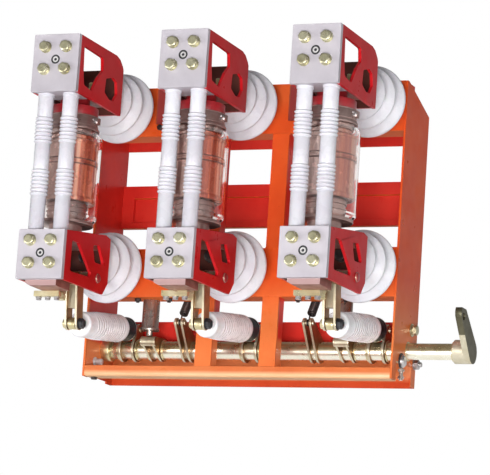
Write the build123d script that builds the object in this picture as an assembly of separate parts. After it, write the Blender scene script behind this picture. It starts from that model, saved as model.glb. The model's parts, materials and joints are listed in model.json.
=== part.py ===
"""Three-pole indoor vacuum circuit breaker on an open welded frame.

Millimetres. X runs along the main shaft towards its lever, Y runs from the
poles to the mounting face, Z is up. The origin lies on the mounting face,
midway between the end panels and level with the main shaft.
Heights in this source are counted from the underside of the frame; save()
moves every piece down by the height of the shaft.
"""

import os
from math import atan2, cos, degrees, hypot, radians, sin

from build123d import *

os.makedirs("parts", exist_ok=True)

# Frame
END_MARGIN = 57.0
FRAME_HEIGHT = 550.0
FRAME_DEPTH = 127.0
REAR_CORNER_HEIGHT = 510.0
SHEET = 4.0
FRONT_FLAT = 8.0
RAIL_DEPTH = 50.0
UPPER_RAIL_BOTTOM = 456.0
UPPER_RAIL_STEP = 480.0
OUTER_PAD_HALF = 57.0
MIDDLE_PAD_HALF = 75.0
LOWER_RAIL_BOTTOM = 149.0
LOWER_RAIL_TOP = 240.0
STILE_INNER = 47.5
STILE_OUTER = 80.0
STILE_DEPTH = 27.0
BEAM_HEIGHT = 20.0
BEAM_DEPTH = 35.0
BEND = 6.0
REAR_TOP_RAIL_TOP = 506.0
REAR_MIDDLE_BOTTOM = 303.0
REAR_MIDDLE_TOP = 386.0
REAR_PANEL_TOP = 123.0
RIM = 9.0
FRONT_LEG = 20.0
REAR_LEG = 24.0
NOTCH_HEIGHT = 36.0
MOUNT_HOLE_RADIUS = 7.0
MOUNT_INSET = 47.0
MOUNT_HEIGHT_LOW = 61.0
MOUNT_HEIGHT_HIGH = 481.0

# Poles
POLE_PITCH = 250.0
POLES = {"left": -POLE_PITCH, "middle": 0.0, "right": POLE_PITCH}
POLE_REACH = 451.5
PLATE_WIDTH = 90.0
PLATE_THICK = 10.0
UPPER_PLATE_BOTTOM = 465.4
UPPER_PLATE_TOP = 571.2
LOWER_PLATE_BOTTOM = 124.2
LOWER_PLATE_TOP = 214.0
SHELF_THICK = 10.0
UPPER_SHELF = 472.0
SHELF_END = -296.0
UPPER_FLANGE_REACH = 54.5
UPPER_WALL_TOP = 551.0
LOWER_WALL_BOTTOM = 172.0
LOWER_WALL_TOP = 232.0
CHEEK = 6.0
CUT_CORNER = 5.0
INSULATOR_FRONT = -259.0
UPPER_INSULATOR_HEIGHT = 502.0
LOWER_INSULATOR_HEIGHT = 197.5
BACK_WALL = 6.0
ROD_RADIUS = 14.0
ROD_CLEARANCE = 0.5
ROD_SETBACK = 24.5
INTERRUPTER_SETBACK = 93.0
GLASS_RADIUS = 54.5
GLASS_WALL = 3.0
GLASS_BOTTOM = 296.0
GLASS_TOP = 412.0
GLASS_MOUTH = 45.0
NECK_RADIUS = 44.0
BOSS_BOTTOM = 438.0
BOSS_TOP = 455.5
BOSS_NECK = 27.0
STEM_RADIUS = 8.0
STEM_BOTTOM = 102.0
STEM_TOP = 226.0
STEM_TRAVEL = 11.0
STEM_NUT_TOP = 124.0
CLAMP_BLOCK_HALF = 30.5
CLAMP_BLOCK_DROP = 10.5
CLAMP_BLOCK_REACH = 58.0
GUIDE_BAR = 10.0

# Drive
SHAFT_Y = -43.0
SHAFT_HEIGHT = 62.0
SHAFT_RADIUS = 17.0
JOURNAL_RADIUS = 15.0
RUNNING = 0.05
SEAT = 0.02
JOURNAL_LENGTH = 23.0
BEARING_RADIUS = 22.0
SPIGOT_RADIUS = 18.0
SHAFT_OVERHANG = 111.0
CRANK_RADIUS = 40.0
CRANK_LEAN = 7.5
CRANK_PLATE = 5.0
CRANK_GAP = 22.0
PIN_RADIUS = 5.0
OPEN_PIVOT_CLEARANCE = 1.8
SPRING_LEVER_X = 128.0
SPRING_LEVER_GAP = 9.0
SPRING_LEVER_TIP = (-95.0, 106.0)
SPRING_ANCHOR = (-42.0, 180.0)
SPRING_RADIUS = 8.5
BUFFER_LEVER_X = 193.0
BUFFER_LEVER_GAP = 16.0
ROLLER_CENTRE = (-86.0, 72.0)
ROLLER_RADIUS = 9.0
LINK_HOLE = (-106.0, 116.0)
LINK_HOLE_RADIUS = 7.0
END_LEVER_TOP = 131.0
END_LEVER_THICK = 12.0
BELL_PIVOT = (-305.0, 151.0)
BELL_PIN = (-296.5, 69.7)
BELL_PLATE = 4.0
BELL_TURN = 15.97
STEM_PIN_DROP = 7.4

FRONT = -FRAME_DEPTH
HALF = POLE_PITCH + END_MARGIN
INNER = HALF - SHEET
PLATE_FRONT = -POLE_REACH
PLATE_BACK = PLATE_FRONT + PLATE_THICK
CHEEK_INNER = PLATE_WIDTH / 2 - CHEEK
SHELF_HALF = CHEEK_INNER - 1
ROD_SHIFT = CHEEK_INNER - ROD_RADIUS - ROD_CLEARANCE
ROD_Y = PLATE_FRONT + ROD_SETBACK
INTERRUPTER_Y = PLATE_FRONT + INTERRUPTER_SETBACK
SHAFT = (SHAFT_Y, SHAFT_HEIGHT)
JOURNAL_START = HALF - JOURNAL_LENGTH
SHAFT_RIGHT_END = HALF + SHAFT_OVERHANG
STEM_NUT_RADIUS = STEM_RADIUS + 1
BELL_ARM_GAP = 2 * STEM_RADIUS + 1
CRANK_PIN = (
    SHAFT_Y + CRANK_RADIUS * sin(radians(CRANK_LEAN)),
    SHAFT_HEIGHT + CRANK_RADIUS * cos(radians(CRANK_LEAN)),
)


def save(name, *shapes):
    """Write the solids of one node, with the shaft's axis at height zero."""
    solids = [solid for shape in shapes for solid in shape.solids()]
    moved = [Pos(0, 0, -SHAFT_HEIGHT) * solid for solid in solids]
    export_step(Compound(children=moved) if len(moved) > 1 else moved[0], f"parts/{name}.step")


def block(x0, x1, y0, y1, z0, z1):
    """A box given by its limits."""
    centre = Pos((x0 + x1) / 2, (y0 + y1) / 2, (z0 + z1) / 2)
    return centre * Box(x1 - x0, y1 - y0, z1 - z0)


def side_plate(points, x0, x1):
    """A plate between x0 and x1 whose outline is given in Y and Z."""
    outline = Plane.YZ * make_face(Polyline(*points, close=True))
    return Pos(x0, 0, 0) * extrude(outline, x1 - x0)


def front_plate(points, y0, y1):
    """A plate between y0 and y1 whose outline is given in X and Z."""
    outline = Plane.XZ * make_face(Polyline(*points, close=True))
    return Pos(0, y0, 0) * extrude(outline, -(y1 - y0))


def bar_x(centre, radius, x0, x1):
    """A round bar along X at a centre given in Y and Z."""
    return Pos((x0 + x1) / 2, centre[0], centre[1]) * Rot(0, 90, 0) * Cylinder(radius, x1 - x0)


def bar_y(x, z, radius, y0, y1):
    """A round bar along Y."""
    return Pos(x, (y0 + y1) / 2, z) * Rot(90, 0, 0) * Cylinder(radius, y1 - y0)


def bar_z(x, y, radius, z0, z1):
    """An upright round bar."""
    return Pos(x, y, (z0 + z1) / 2) * Cylinder(radius, z1 - z0)


def turned_z(x, y, profile):
    """A solid turned about an upright axis from radius and height pairs."""
    face = Plane.XZ * make_face(Polyline(*profile, close=True))
    return Pos(x, y, 0) * revolve(face, Axis.Z)


def turned_y(x, z, profile):
    """A solid turned about an axis along Y from radius and Y pairs."""
    face = Plane.XY * make_face(Polyline(*profile, close=True))
    return Pos(x, 0, z) * revolve(face, Axis.Y)


def lever_plate(hub, hub_radius, tip, tip_radius, x0, x1):
    """A flat lever with a round hub and a round tip joined by tangent edges."""
    reach = hypot(tip[0] - hub[0], tip[1] - hub[1])
    slope = (hub_radius - tip_radius) / reach
    rise = (1 - slope * slope) ** 0.5
    web = [
        (hub_radius * slope, hub_radius * rise),
        (reach + tip_radius * slope, tip_radius * rise),
        (reach + tip_radius * slope, -tip_radius * rise),
        (hub_radius * slope, -hub_radius * rise),
    ]
    flat = make_face(Polyline(*web, close=True)) + Circle(hub_radius)
    flat += Pos(reach, 0) * Circle(tip_radius)
    turn = degrees(atan2(tip[1] - hub[1], tip[0] - hub[0]))
    lever = extrude(Plane.YZ * Rot(0, 0, turn) * flat, x1 - x0)
    return Pos(x0, hub[0], hub[1]) * lever


def end_panel(x0, x1):
    """A sheet side of the frame: sloping top edge, two legs and a bearing hole."""
    outline = [
        (FRONT, 0),
        (FRONT + FRONT_LEG, 0),
        (FRONT + FRONT_LEG, NOTCH_HEIGHT),
        (-REAR_LEG, NOTCH_HEIGHT),
        (-REAR_LEG, 0),
        (0, 0),
        (0, REAR_CORNER_HEIGHT),
        (FRONT + FRONT_FLAT, FRAME_HEIGHT),
        (FRONT, FRAME_HEIGHT),
    ]
    panel = side_plate(outline, x0, x1)
    return panel - bar_x(SHAFT, SPIGOT_RADIUS + SEAT, x0 - 1, x1 + 1)


def upper_rail():
    """A pressed channel, open at the back, with a raised pad behind each pole."""
    outer = INNER
    edge = POLE_PITCH - OUTER_PAD_HALF
    outline = [
        (-outer, UPPER_RAIL_BOTTOM),
        (outer, UPPER_RAIL_BOTTOM),
        (outer, FRAME_HEIGHT),
        (edge, FRAME_HEIGHT),
        (edge, UPPER_RAIL_STEP),
        (MIDDLE_PAD_HALF, UPPER_RAIL_STEP),
        (MIDDLE_PAD_HALF, FRAME_HEIGHT),
        (-MIDDLE_PAD_HALF, FRAME_HEIGHT),
        (-MIDDLE_PAD_HALF, UPPER_RAIL_STEP),
        (-edge, UPPER_RAIL_STEP),
        (-edge, FRAME_HEIGHT),
        (-outer, FRAME_HEIGHT),
    ]
    solid = front_plate(outline, FRONT, FRONT + RAIL_DEPTH)
    inside = Plane.XZ * offset(make_face(Polyline(*outline, close=True)), -SHEET)
    return solid - Pos(0, FRONT + SHEET, 0) * extrude(inside, -RAIL_DEPTH)


def lower_rail():
    """A pressed channel, open at the back, with a tab and pin for each spring."""
    rail = block(-INNER, INNER, FRONT, FRONT + RAIL_DEPTH, LOWER_RAIL_BOTTOM, LOWER_RAIL_TOP)
    inside = block(
        -INNER + SHEET,
        INNER - SHEET,
        FRONT + SHEET,
        FRONT + RAIL_DEPTH + 1,
        LOWER_RAIL_BOTTOM + SHEET,
        LOWER_RAIL_TOP - SHEET,
    )
    rail -= inside
    for side in (-1, 1):
        x = side * SPRING_LEVER_X
        rail += spring_tab(x)
    return rail


def spring_tab(x):
    """A plate standing back from the web of the lower rail, with the spring's pin."""
    y, z = SPRING_ANCHOR
    outline = [
        (FRONT + SHEET, z + 34),
        (FRONT + SHEET, z - 14),
        (y, z - 11),
        (y + 10, z - 3),
        (y + 10, z + 3),
        (y, z + 11),
    ]
    plate = side_plate(outline, x + SPRING_RADIUS + 2, x + SPRING_RADIUS + 6)
    return plate + bar_x(SPRING_ANCHOR, 4, x - 5, x + SPRING_RADIUS + 2)


def stile(side, z0, z1):
    """One length of the channel that stands beside the middle pole."""
    x0, x1 = sorted((side * STILE_INNER, side * STILE_OUTER))
    channel = block(x0, x1, FRONT, FRONT + STILE_DEPTH, z0, z1)
    return channel - block(x0 + SHEET, x1 - SHEET, FRONT + SHEET, 0, z0 - 1, z1 + 1)


def bottom_beam():
    """An angle with a rounded lower bend that joins the front legs."""
    back = FRONT + BEAM_DEPTH
    angle = [
        (FRONT, 0),
        (back, 0),
        (back, SHEET),
        (FRONT + SHEET, SHEET),
        (FRONT + SHEET, BEAM_HEIGHT),
        (FRONT, BEAM_HEIGHT),
    ]
    beam = side_plate(angle, -INNER, INNER)
    bend = beam.edges().filter_by(Axis.X).sort_by(lambda edge: edge.center().Y + edge.center().Z)[0]
    return fillet(bend, BEND)


def rear_rails():
    """The three rear plates, the middle one with a raised rim."""
    top = block(-INNER, INNER, -SHEET, 0, UPPER_RAIL_BOTTOM, REAR_TOP_RAIL_TOP)
    middle = block(-INNER, INNER, -SHEET - RIM, 0, REAR_MIDDLE_BOTTOM, REAR_MIDDLE_TOP)
    middle -= block(
        -INNER + 24, INNER - 24, -SHEET - RIM - 1, -SHEET, REAR_MIDDLE_BOTTOM + 12, REAR_MIDDLE_TOP - 24
    )
    bottom = block(-INNER, INNER, -SHEET, 0, 0, REAR_PANEL_TOP)
    for side in (-1, 1):
        x = side * (HALF - MOUNT_INSET)
        top -= bar_y(x, MOUNT_HEIGHT_HIGH, MOUNT_HOLE_RADIUS, -SHEET - 1, 1)
        bottom -= bar_y(x, MOUNT_HEIGHT_LOW, MOUNT_HOLE_RADIUS, -SHEET - 1, 1)
    return top, middle, bottom


def insulator(x, z):
    """A post insulator whose three sheds grow towards the frame."""
    front = INSULATOR_FRONT
    profile = [
        (0, front),
        (34, front),
        (34, front + 16),
        (49, front + 34),
        (49, front + 38),
        (38, front + 46),
        (59, front + 60),
        (59, front + 65),
        (44, front + 73),
        (67, front + 91),
        (67, front + 97),
        (50, front + 106),
        (46, FRONT),
        (0, FRONT),
    ]
    return turned_y(x, z, profile)


def rounded_cut(points, x0, x1):
    """A cutter for a cheek: an outline in Y and Z with rounded corners."""
    flat = make_face(Polyline(*points, close=True))
    outline = Plane.YZ * fillet(flat.vertices(), CUT_CORNER)
    return Pos(x0 - 1, 0, 0) * extrude(outline, x1 - x0 + 2)


def upper_cheek(x0, x1):
    """A side of the upper bracket with its two cut-outs."""
    rear = INSULATOR_FRONT
    outline = [
        (PLATE_BACK, UPPER_PLATE_BOTTOM),
        (rear, UPPER_PLATE_BOTTOM - 1),
        (rear, UPPER_WALL_TOP),
        (rear - 4, UPPER_WALL_TOP + 6),
        (rear - 17, UPPER_PLATE_TOP - 4),
        (rear - 32, UPPER_PLATE_TOP),
        (PLATE_BACK, UPPER_PLATE_TOP),
    ]
    window = [(-429, 554), (-348, 552), (-344, 529), (-363, 512), (-386, 480), (-420, 484), (-425, 505)]
    slot = [(-330, 518), (-300, 527), (-284, 522), (-279, 501), (-292, 484), (-312, 483), (-333, 491)]
    cheek = side_plate(outline, x0, x1)
    cheek -= rounded_cut(window, x0, x1)
    return cheek - rounded_cut(slot, x0, x1)


def lower_cheek(x0, x1):
    """A side of the lower bracket with its two cut-outs and pivot hole."""
    rear = INSULATOR_FRONT
    outline = [
        (PLATE_BACK, LOWER_PLATE_BOTTOM),
        (rear - 19, LOWER_PLATE_BOTTOM + 2),
        (rear, 149),
        (rear, LOWER_WALL_TOP),
        (rear - 20, LOWER_WALL_TOP + 4),
        (PLATE_BACK, LOWER_PLATE_TOP),
    ]
    window = [(-417, 144), (-336, 148), (-333, 156), (-389, 200), (-417, 200)]
    slot = [(-332, 207), (-305, 212), (-279, 180), (-319, 178)]
    cheek = side_plate(outline, x0, x1)
    cheek -= rounded_cut(window, x0, x1)
    cheek -= rounded_cut(slot, x0, x1)
    return cheek - bar_x(BELL_PIVOT, 6 + RUNNING, x0 - 1, x1 + 1)


def bracket(x, cheek, z0, z1):
    """Two cheeks joined by an upright wall against the insulator."""
    half = PLATE_WIDTH / 2
    left = cheek(x - half, x - CHEEK_INNER)
    right = cheek(x + CHEEK_INNER, x + half)
    wall = block(x - CHEEK_INNER, x + CHEEK_INNER, INSULATOR_FRONT - BACK_WALL, INSULATOR_FRONT, z0, z1)
    return left + wall + right


def terminal_plate(x, z0, z1, shelf):
    """The grey contact plate: an upright face and a shelf running back."""
    half = PLATE_WIDTH / 2
    face = block(x - half, x + half, PLATE_FRONT, PLATE_BACK, z0, z1)
    return face + block(x - SHELF_HALF, x + SHELF_HALF, PLATE_BACK, SHELF_END, shelf, shelf + SHELF_THICK)


def upper_terminal(x):
    """The upper plate with the flange below its shelf that the stay rods stand under."""
    plate = terminal_plate(x, UPPER_PLATE_BOTTOM, UPPER_PLATE_TOP, UPPER_SHELF)
    reach = PLATE_BACK + UPPER_FLANGE_REACH
    return plate + block(x - SHELF_HALF, x + SHELF_HALF, PLATE_BACK, reach, UPPER_PLATE_BOTTOM, UPPER_SHELF)


def lower_terminal(x):
    """The lower plate with its stem hole and the block clamped behind its lower edge."""
    shelf = LOWER_PLATE_TOP - SHELF_THICK
    plate = terminal_plate(x, LOWER_PLATE_BOTTOM, LOWER_PLATE_TOP, shelf)
    half = CLAMP_BLOCK_HALF
    low = LOWER_PLATE_BOTTOM - CLAMP_BLOCK_DROP
    outline = [
        (x - half, LOWER_PLATE_BOTTOM + 10),
        (x - half, low + 5),
        (x - half + 9, low),
        (x + half, low),
        (x + half, LOWER_PLATE_BOTTOM + 10),
    ]
    plate += front_plate(outline, PLATE_BACK, PLATE_BACK + CLAMP_BLOCK_REACH)
    return plate - bar_z(x, INTERRUPTER_Y, STEM_RADIUS + RUNNING, shelf - 1, LOWER_PLATE_TOP + 1)


def guide_bar(x):
    """The bar bolted under the rear edge of the lower plate's block."""
    edge = PLATE_BACK + CLAMP_BLOCK_REACH
    top = LOWER_PLATE_BOTTOM - CLAMP_BLOCK_DROP
    return block(x - SHELF_HALF, x + 12, edge - 6, edge + 6, top - GUIDE_BAR, top)


def contact_stem(x):
    """The moving stem below an interrupter, with its end nut and cross pin."""
    stem = bar_z(x, INTERRUPTER_Y, STEM_RADIUS, STEM_BOTTOM, STEM_TOP)
    nut = bar_z(x, INTERRUPTER_Y, STEM_NUT_RADIUS, STEM_BOTTOM, STEM_NUT_TOP)
    reach = BELL_ARM_GAP / 2 + BELL_PLATE + 3
    pin = bar_x((INTERRUPTER_Y, BELL_PIVOT[1] - STEM_PIN_DROP), 4, x - reach, x + reach)
    return stem + nut + pin


def stay_rod(x):
    """An insulating rod with two shed zones."""
    low, high = LOWER_PLATE_TOP, UPPER_PLATE_BOTTOM
    r = ROD_RADIUS
    profile = [
        (0, low),
        (r, low),
        (r, 279),
        (r + 1.5, 280),
        (r + 1.5, 323),
        (r, 324),
        (r, 374),
        (r + 1.5, 375),
        (r + 1.5, 419),
        (r, 420),
        (r, high),
        (0, high),
    ]
    return turned_z(x, ROD_Y, profile)


def glass_envelope(x):
    """The clear envelope of the interrupter, drawn in at both ends."""
    r = GLASS_RADIUS
    mouth = GLASS_MOUTH
    wall = GLASS_WALL
    profile = [
        (mouth, GLASS_BOTTOM),
        (r - 3, GLASS_BOTTOM + 4),
        (r, GLASS_BOTTOM + 12),
        (r, GLASS_TOP - 22),
        (r - 3, GLASS_TOP - 13),
        (mouth, GLASS_TOP),
        (mouth - wall, GLASS_TOP),
        (r - wall - 3, GLASS_TOP - 15),
        (r - wall, GLASS_TOP - 23),
        (r - wall, GLASS_BOTTOM + 13),
        (r - wall - 3, GLASS_BOTTOM + 6),
        (mouth - wall, GLASS_BOTTOM),
    ]
    return turned_z(x, INTERRUPTER_Y, profile)


def arc_shield(x):
    """The metal shield inside the envelope, with the end caps and lower neck."""
    inside = GLASS_RADIUS - GLASS_WALL - 6
    cap = GLASS_MOUTH - GLASS_WALL - 6
    profile = [
        (0, LOWER_PLATE_TOP),
        (CHEEK_INNER - 2, LOWER_PLATE_TOP),
        (CHEEK_INNER - 2, 260),
        (NECK_RADIUS, 264),
        (NECK_RADIUS, 285),
        (GLASS_MOUTH + 2, 287),
        (GLASS_MOUTH + 2, GLASS_BOTTOM),
        (cap, GLASS_BOTTOM),
        (cap, GLASS_BOTTOM + 14),
        (inside, GLASS_BOTTOM + 24),
        (inside, GLASS_TOP - 32),
        (cap, GLASS_TOP - 20),
        (cap, GLASS_TOP),
        (0, GLASS_TOP),
    ]
    bore_top = STEM_TOP + STEM_TRAVEL + 8
    bore = bar_z(x, INTERRUPTER_Y, STEM_RADIUS + RUNNING, LOWER_PLATE_TOP - 1, bore_top)
    return turned_z(x, INTERRUPTER_Y, profile) - bore


def clamp_ring(x):
    """The grey cap ring over the top of the interrupter, with its clamp lug."""
    r = GLASS_MOUTH
    ring = bar_z(x, INTERRUPTER_Y, r, GLASS_TOP, BOSS_BOTTOM)
    rim = bar_z(x, INTERRUPTER_Y, r + 3, GLASS_TOP, GLASS_TOP + 4)
    lug = block(x + r - 4, x + r + 6, INTERRUPTER_Y - 6, INTERRUPTER_Y + 6, GLASS_TOP + 12, GLASS_TOP + 24)
    return ring + rim + lug


def top_boss(x):
    """The red boss above the clamp ring and the neck that joins it to the shelf."""
    boss = bar_z(x, INTERRUPTER_Y, GLASS_MOUTH - 1, BOSS_BOTTOM, BOSS_TOP)
    return boss + bar_z(x, INTERRUPTER_Y, BOSS_NECK, BOSS_TOP, UPPER_SHELF)


def bearing(side):
    """A bush with a flange inside the end panel and a spigot through it."""
    x0, x1 = sorted((side * (JOURNAL_START + 2), side * INNER))
    flange = bar_x(SHAFT, BEARING_RADIUS, x0, x1)
    x2, x3 = sorted((side * INNER, side * HALF))
    bush = flange + bar_x(SHAFT, SPIGOT_RADIUS, x2, x3)
    return bush - bar_x(SHAFT, JOURNAL_RADIUS + RUNNING, -HALF - 1, HALF + 1)


def main_shaft():
    """The shaft with a thinner journal at each end."""
    body = bar_x(SHAFT, SHAFT_RADIUS, -JOURNAL_START, JOURNAL_START)
    left = bar_x(SHAFT, JOURNAL_RADIUS, -HALF + 1, -JOURNAL_START)
    right = bar_x(SHAFT, JOURNAL_RADIUS, JOURNAL_START, SHAFT_RIGHT_END)
    return body + left + right


def lever_pair(x, gap, thick, hub_radius, tip, tip_radius, pin_radius):
    """Two like levers on the shaft, one each side of x, joined by a pin."""
    pair = []
    for side in (-1, 1):
        x0, x1 = sorted((x + side * gap / 2, x + side * (gap / 2 + thick)))
        plate = lever_plate(SHAFT, hub_radius, tip, tip_radius, x0, x1)
        pair.append(plate - bar_x(SHAFT, SHAFT_RADIUS + SEAT, x0 - 1, x1 + 1))
    reach = gap / 2 + thick + 3
    pin = bar_x(tip, pin_radius, x - reach, x + reach)
    return pair[0] + pair[1] + pin


def end_lever():
    """The lever on the free end of the shaft: flat top, link hole and boss."""
    x0 = SHAFT_RIGHT_END
    x1 = x0 + END_LEVER_THICK
    tip = (LINK_HOLE[0], LINK_HOLE[1] + 6)
    plate = lever_plate(SHAFT, 22, tip, 15, x0, x1)
    plate -= block(x0 - 1, x1 + 1, tip[0] - 16, tip[0] + 16, END_LEVER_TOP, END_LEVER_TOP + 16)
    boss = bar_x(SHAFT, 22, x0 - 21, x0)
    lever = plate + boss - bar_x(LINK_HOLE, LINK_HOLE_RADIUS, x0 - 1, x1 + 1)
    return lever - bar_x(SHAFT, JOURNAL_RADIUS + SEAT, x0 - 22, x0)


def buffer(x, low):
    """A stop hanging from the lower rail above a roller."""
    y = ROLLER_CENTRE[0]
    body = bar_z(x, y, 16, low, LOWER_RAIL_BOTTOM)
    rim = bar_z(x, y, 18, low, low + 5)
    foot = ROLLER_CENTRE[1] + ROLLER_RADIUS + 1
    return body + rim + bar_z(x, y, 6, foot, low)


def opening_spring(x):
    """A hooked tension spring that leans back from its lever to the rail's tab."""
    y0, z0 = SPRING_LEVER_TIP
    y1, z1 = SPRING_ANCHOR
    length = hypot(y1 - y0, z1 - z0)
    tilt = degrees(atan2(y0 - y1, z1 - z0))
    coil = bar_z(0, 0, SPRING_RADIUS, 20, length - 24)
    wire = bar_z(0, 0, 2.5, 4, length - 4)
    return Pos(x, y0, z0) * Rot(tilt, 0, 0) * (coil + wire)


def stem_slot(x0, x1):
    """The cutter for the slot in which a crank arm carries the stem's pin."""
    y, z = BELL_PIVOT
    arm = INTERRUPTER_Y - y
    turn = radians(BELL_TURN)
    rise = STEM_TRAVEL - STEM_PIN_DROP
    end = (y + arm * cos(turn) - rise * sin(turn), z + arm * sin(turn) + rise * cos(turn))
    start = (INTERRUPTER_Y, z - STEM_PIN_DROP)
    return lever_plate(start, 4.6, end, 4.6, x0, x1)


def bell_crank(x):
    """The crank below the lower bracket: two hanging plates and a short arm."""
    inside = CHEEK_INNER - 0.5
    half = PLATE_WIDTH / 2
    half_gap = BELL_ARM_GAP / 2
    crank = bar_x(BELL_PIVOT, 12, x - inside, x + inside)
    crank += bar_x(BELL_PIVOT, 6, x - half - 3, x + half + 3)
    stem_end = (INTERRUPTER_Y, BELL_PIVOT[1] - STEM_PIN_DROP)
    for side in (-1, 1):
        x0, x1 = sorted((x + side * half_gap, x + side * (half_gap + BELL_PLATE)))
        crank += lever_plate(BELL_PIVOT, 14, BELL_PIN, 12, x0, x1)
        crank += lever_plate(BELL_PIVOT, 13, stem_end, 12, x0, x1) - stem_slot(x0 - 1, x1 + 1)
        x2, x3 = sorted((x + side * (half + 0.3), x + side * (half + 3)))
        crank += bar_x(BELL_PIVOT, 8, x2, x3)
    web_y = (BELL_PIVOT[0] + BELL_PIN[0]) / 2
    crank += block(x - half_gap, x + half_gap, web_y - 5, web_y + 5, 97, BELL_PIVOT[1])
    pin_reach = half_gap + BELL_PLATE + 5
    return crank + bar_x(BELL_PIN, PIN_RADIUS, x - pin_reach, x + pin_reach)


def rod_frame(x):
    """The placement whose Y axis runs from the bell crank pin to the crank pin."""
    slope = degrees(atan2(CRANK_PIN[1] - BELL_PIN[1], CRANK_PIN[0] - BELL_PIN[0]))
    return Pos(x, BELL_PIN[0], BELL_PIN[1]) * Rot(slope, 0, 0)


ROD_LENGTH = hypot(CRANK_PIN[0] - BELL_PIN[0], CRANK_PIN[1] - BELL_PIN[1])
ROD_BODY_START = 26.0
ROD_CAP_START = ROD_LENGTH - 69.0
ROD_CAP_END = ROD_LENGTH - 31.0


def pull_rod_body(x):
    """The white insulating body of a pull rod."""
    profile = [
        (0, ROD_BODY_START),
        (18, ROD_BODY_START),
        (22.5, ROD_BODY_START + 3),
        (24, ROD_BODY_START + 8),
        (24, ROD_BODY_START + 32),
        (26, ROD_BODY_START + 46),
        (26, ROD_CAP_START - 9),
        (24, ROD_CAP_START - 1),
        (23, ROD_CAP_START),
        (0, ROD_CAP_START),
    ]
    return rod_frame(x) * turned_y(0, 0, profile)


def pull_rod_eye(x):
    """The metal tongue at the front of a pull rod."""
    thick = BELL_ARM_GAP - 3
    tongue = bar_x((0, 0), 11, -thick / 2, thick / 2)
    tongue += block(-thick / 2, thick / 2, 0, ROD_BODY_START, -9, 9)
    tongue -= bar_x((0, 0), PIN_RADIUS + RUNNING, -20, 20)
    return rod_frame(x) * tongue


def pull_rod_cap(x):
    """The black cap and the tongue that reaches the crank pin."""
    profile = [
        (0, ROD_CAP_START),
        (21.5, ROD_CAP_START),
        (21.5, ROD_CAP_END - 5),
        (22.5, ROD_CAP_END - 4),
        (22.5, ROD_CAP_END),
        (0, ROD_CAP_END),
    ]
    cap = turned_y(0, 0, profile)
    thick = CRANK_GAP - 6
    cap += block(-thick / 2, thick / 2, ROD_CAP_END, ROD_LENGTH, -8, 8)
    cap += bar_x((ROD_LENGTH, 0), 12, -thick / 2, thick / 2)
    cap -= bar_x((ROD_LENGTH, 0), PIN_RADIUS + OPEN_PIVOT_CLEARANCE, -20, 20)
    return rod_frame(x) * cap


save("left_end_panel", end_panel(-HALF, -INNER))
save("right_end_panel", end_panel(INNER, HALF))
save("upper_rail", upper_rail())
save("lower_rail", lower_rail())
stile_lengths = [(BEAM_HEIGHT, LOWER_RAIL_BOTTOM), (LOWER_RAIL_TOP, UPPER_RAIL_BOTTOM)]
save("front_stiles", *[stile(side, z0, z1) for side in (-1, 1) for z0, z1 in stile_lengths])
save("bottom_beam", bottom_beam())
rear_top, rear_middle, rear_bottom = rear_rails()
save("rear_top_rail", rear_top)
save("rear_middle_rail", rear_middle)
save("rear_bottom_panel", rear_bottom)

centres = list(POLES.values())
save("upper_insulators", *[insulator(x, UPPER_INSULATOR_HEIGHT) for x in centres])
save("lower_insulators", *[insulator(x, LOWER_INSULATOR_HEIGHT) for x in centres])
save("upper_brackets", *[bracket(x, upper_cheek, UPPER_PLATE_BOTTOM, UPPER_WALL_TOP) for x in centres])
save("lower_brackets", *[bracket(x, lower_cheek, LOWER_WALL_BOTTOM, LOWER_WALL_TOP) for x in centres])
save("upper_terminals", *[upper_terminal(x) for x in centres])
save("lower_terminals", *[lower_terminal(x) for x in centres])
save("guide_bars", *[guide_bar(x) for x in centres])
save("stay_rods", *[stay_rod(x + shift) for x in centres for shift in (-ROD_SHIFT, ROD_SHIFT)])
save("glass_envelopes", *[glass_envelope(x) for x in centres])
save("arc_shields", *[arc_shield(x) for x in centres])
save("clamp_rings", *[clamp_ring(x) for x in centres])
save("top_bosses", *[top_boss(x) for x in centres])

save("shaft_bearings", bearing(-1), bearing(1))
save("main_shaft", main_shaft())
save(
    "phase_cranks",
    *[lever_pair(x, CRANK_GAP, CRANK_PLATE, 23, CRANK_PIN, 11, PIN_RADIUS) for x in centres],
)
spring_xs = (-SPRING_LEVER_X, SPRING_LEVER_X)
save(
    "spring_levers",
    *[lever_pair(x, SPRING_LEVER_GAP, 4, 23, SPRING_LEVER_TIP, 9, 4) for x in spring_xs],
)
buffer_xs = (-BUFFER_LEVER_X, BUFFER_LEVER_X)
save(
    "buffer_levers",
    *[
        lever_pair(x, BUFFER_LEVER_GAP, 4, 22, ROLLER_CENTRE, ROLLER_RADIUS, ROLLER_RADIUS)
        for x in buffer_xs
    ],
)
save("end_lever", end_lever())
save("buffers", buffer(-BUFFER_LEVER_X, 92), buffer(BUFFER_LEVER_X, 121))
save("opening_springs", *[opening_spring(x) for x in spring_xs])
for side, x in POLES.items():
    save(f"contact_stem_{side}", contact_stem(x))
    save(f"bell_crank_{side}", bell_crank(x))
    save(f"pull_rod_{side}", pull_rod_body(x))
    save(f"pull_rod_eye_{side}", pull_rod_eye(x))
    save(f"pull_rod_cap_{side}", pull_rod_cap(x))
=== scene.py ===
"""Looks of a three-pole indoor vacuum circuit breaker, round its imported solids.

Metres, in the part's own frame: X along the main shaft, Y towards the mounting
face, Z up, with zero height on the shaft. Shapes are drawn in millimetres with
heights counted from the underside of the frame, and at() and place() convert.
"""

import json
from math import cos, hypot, pi, radians, sin

import bmesh
import bpy
from mathutils import Matrix, Vector


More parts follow.
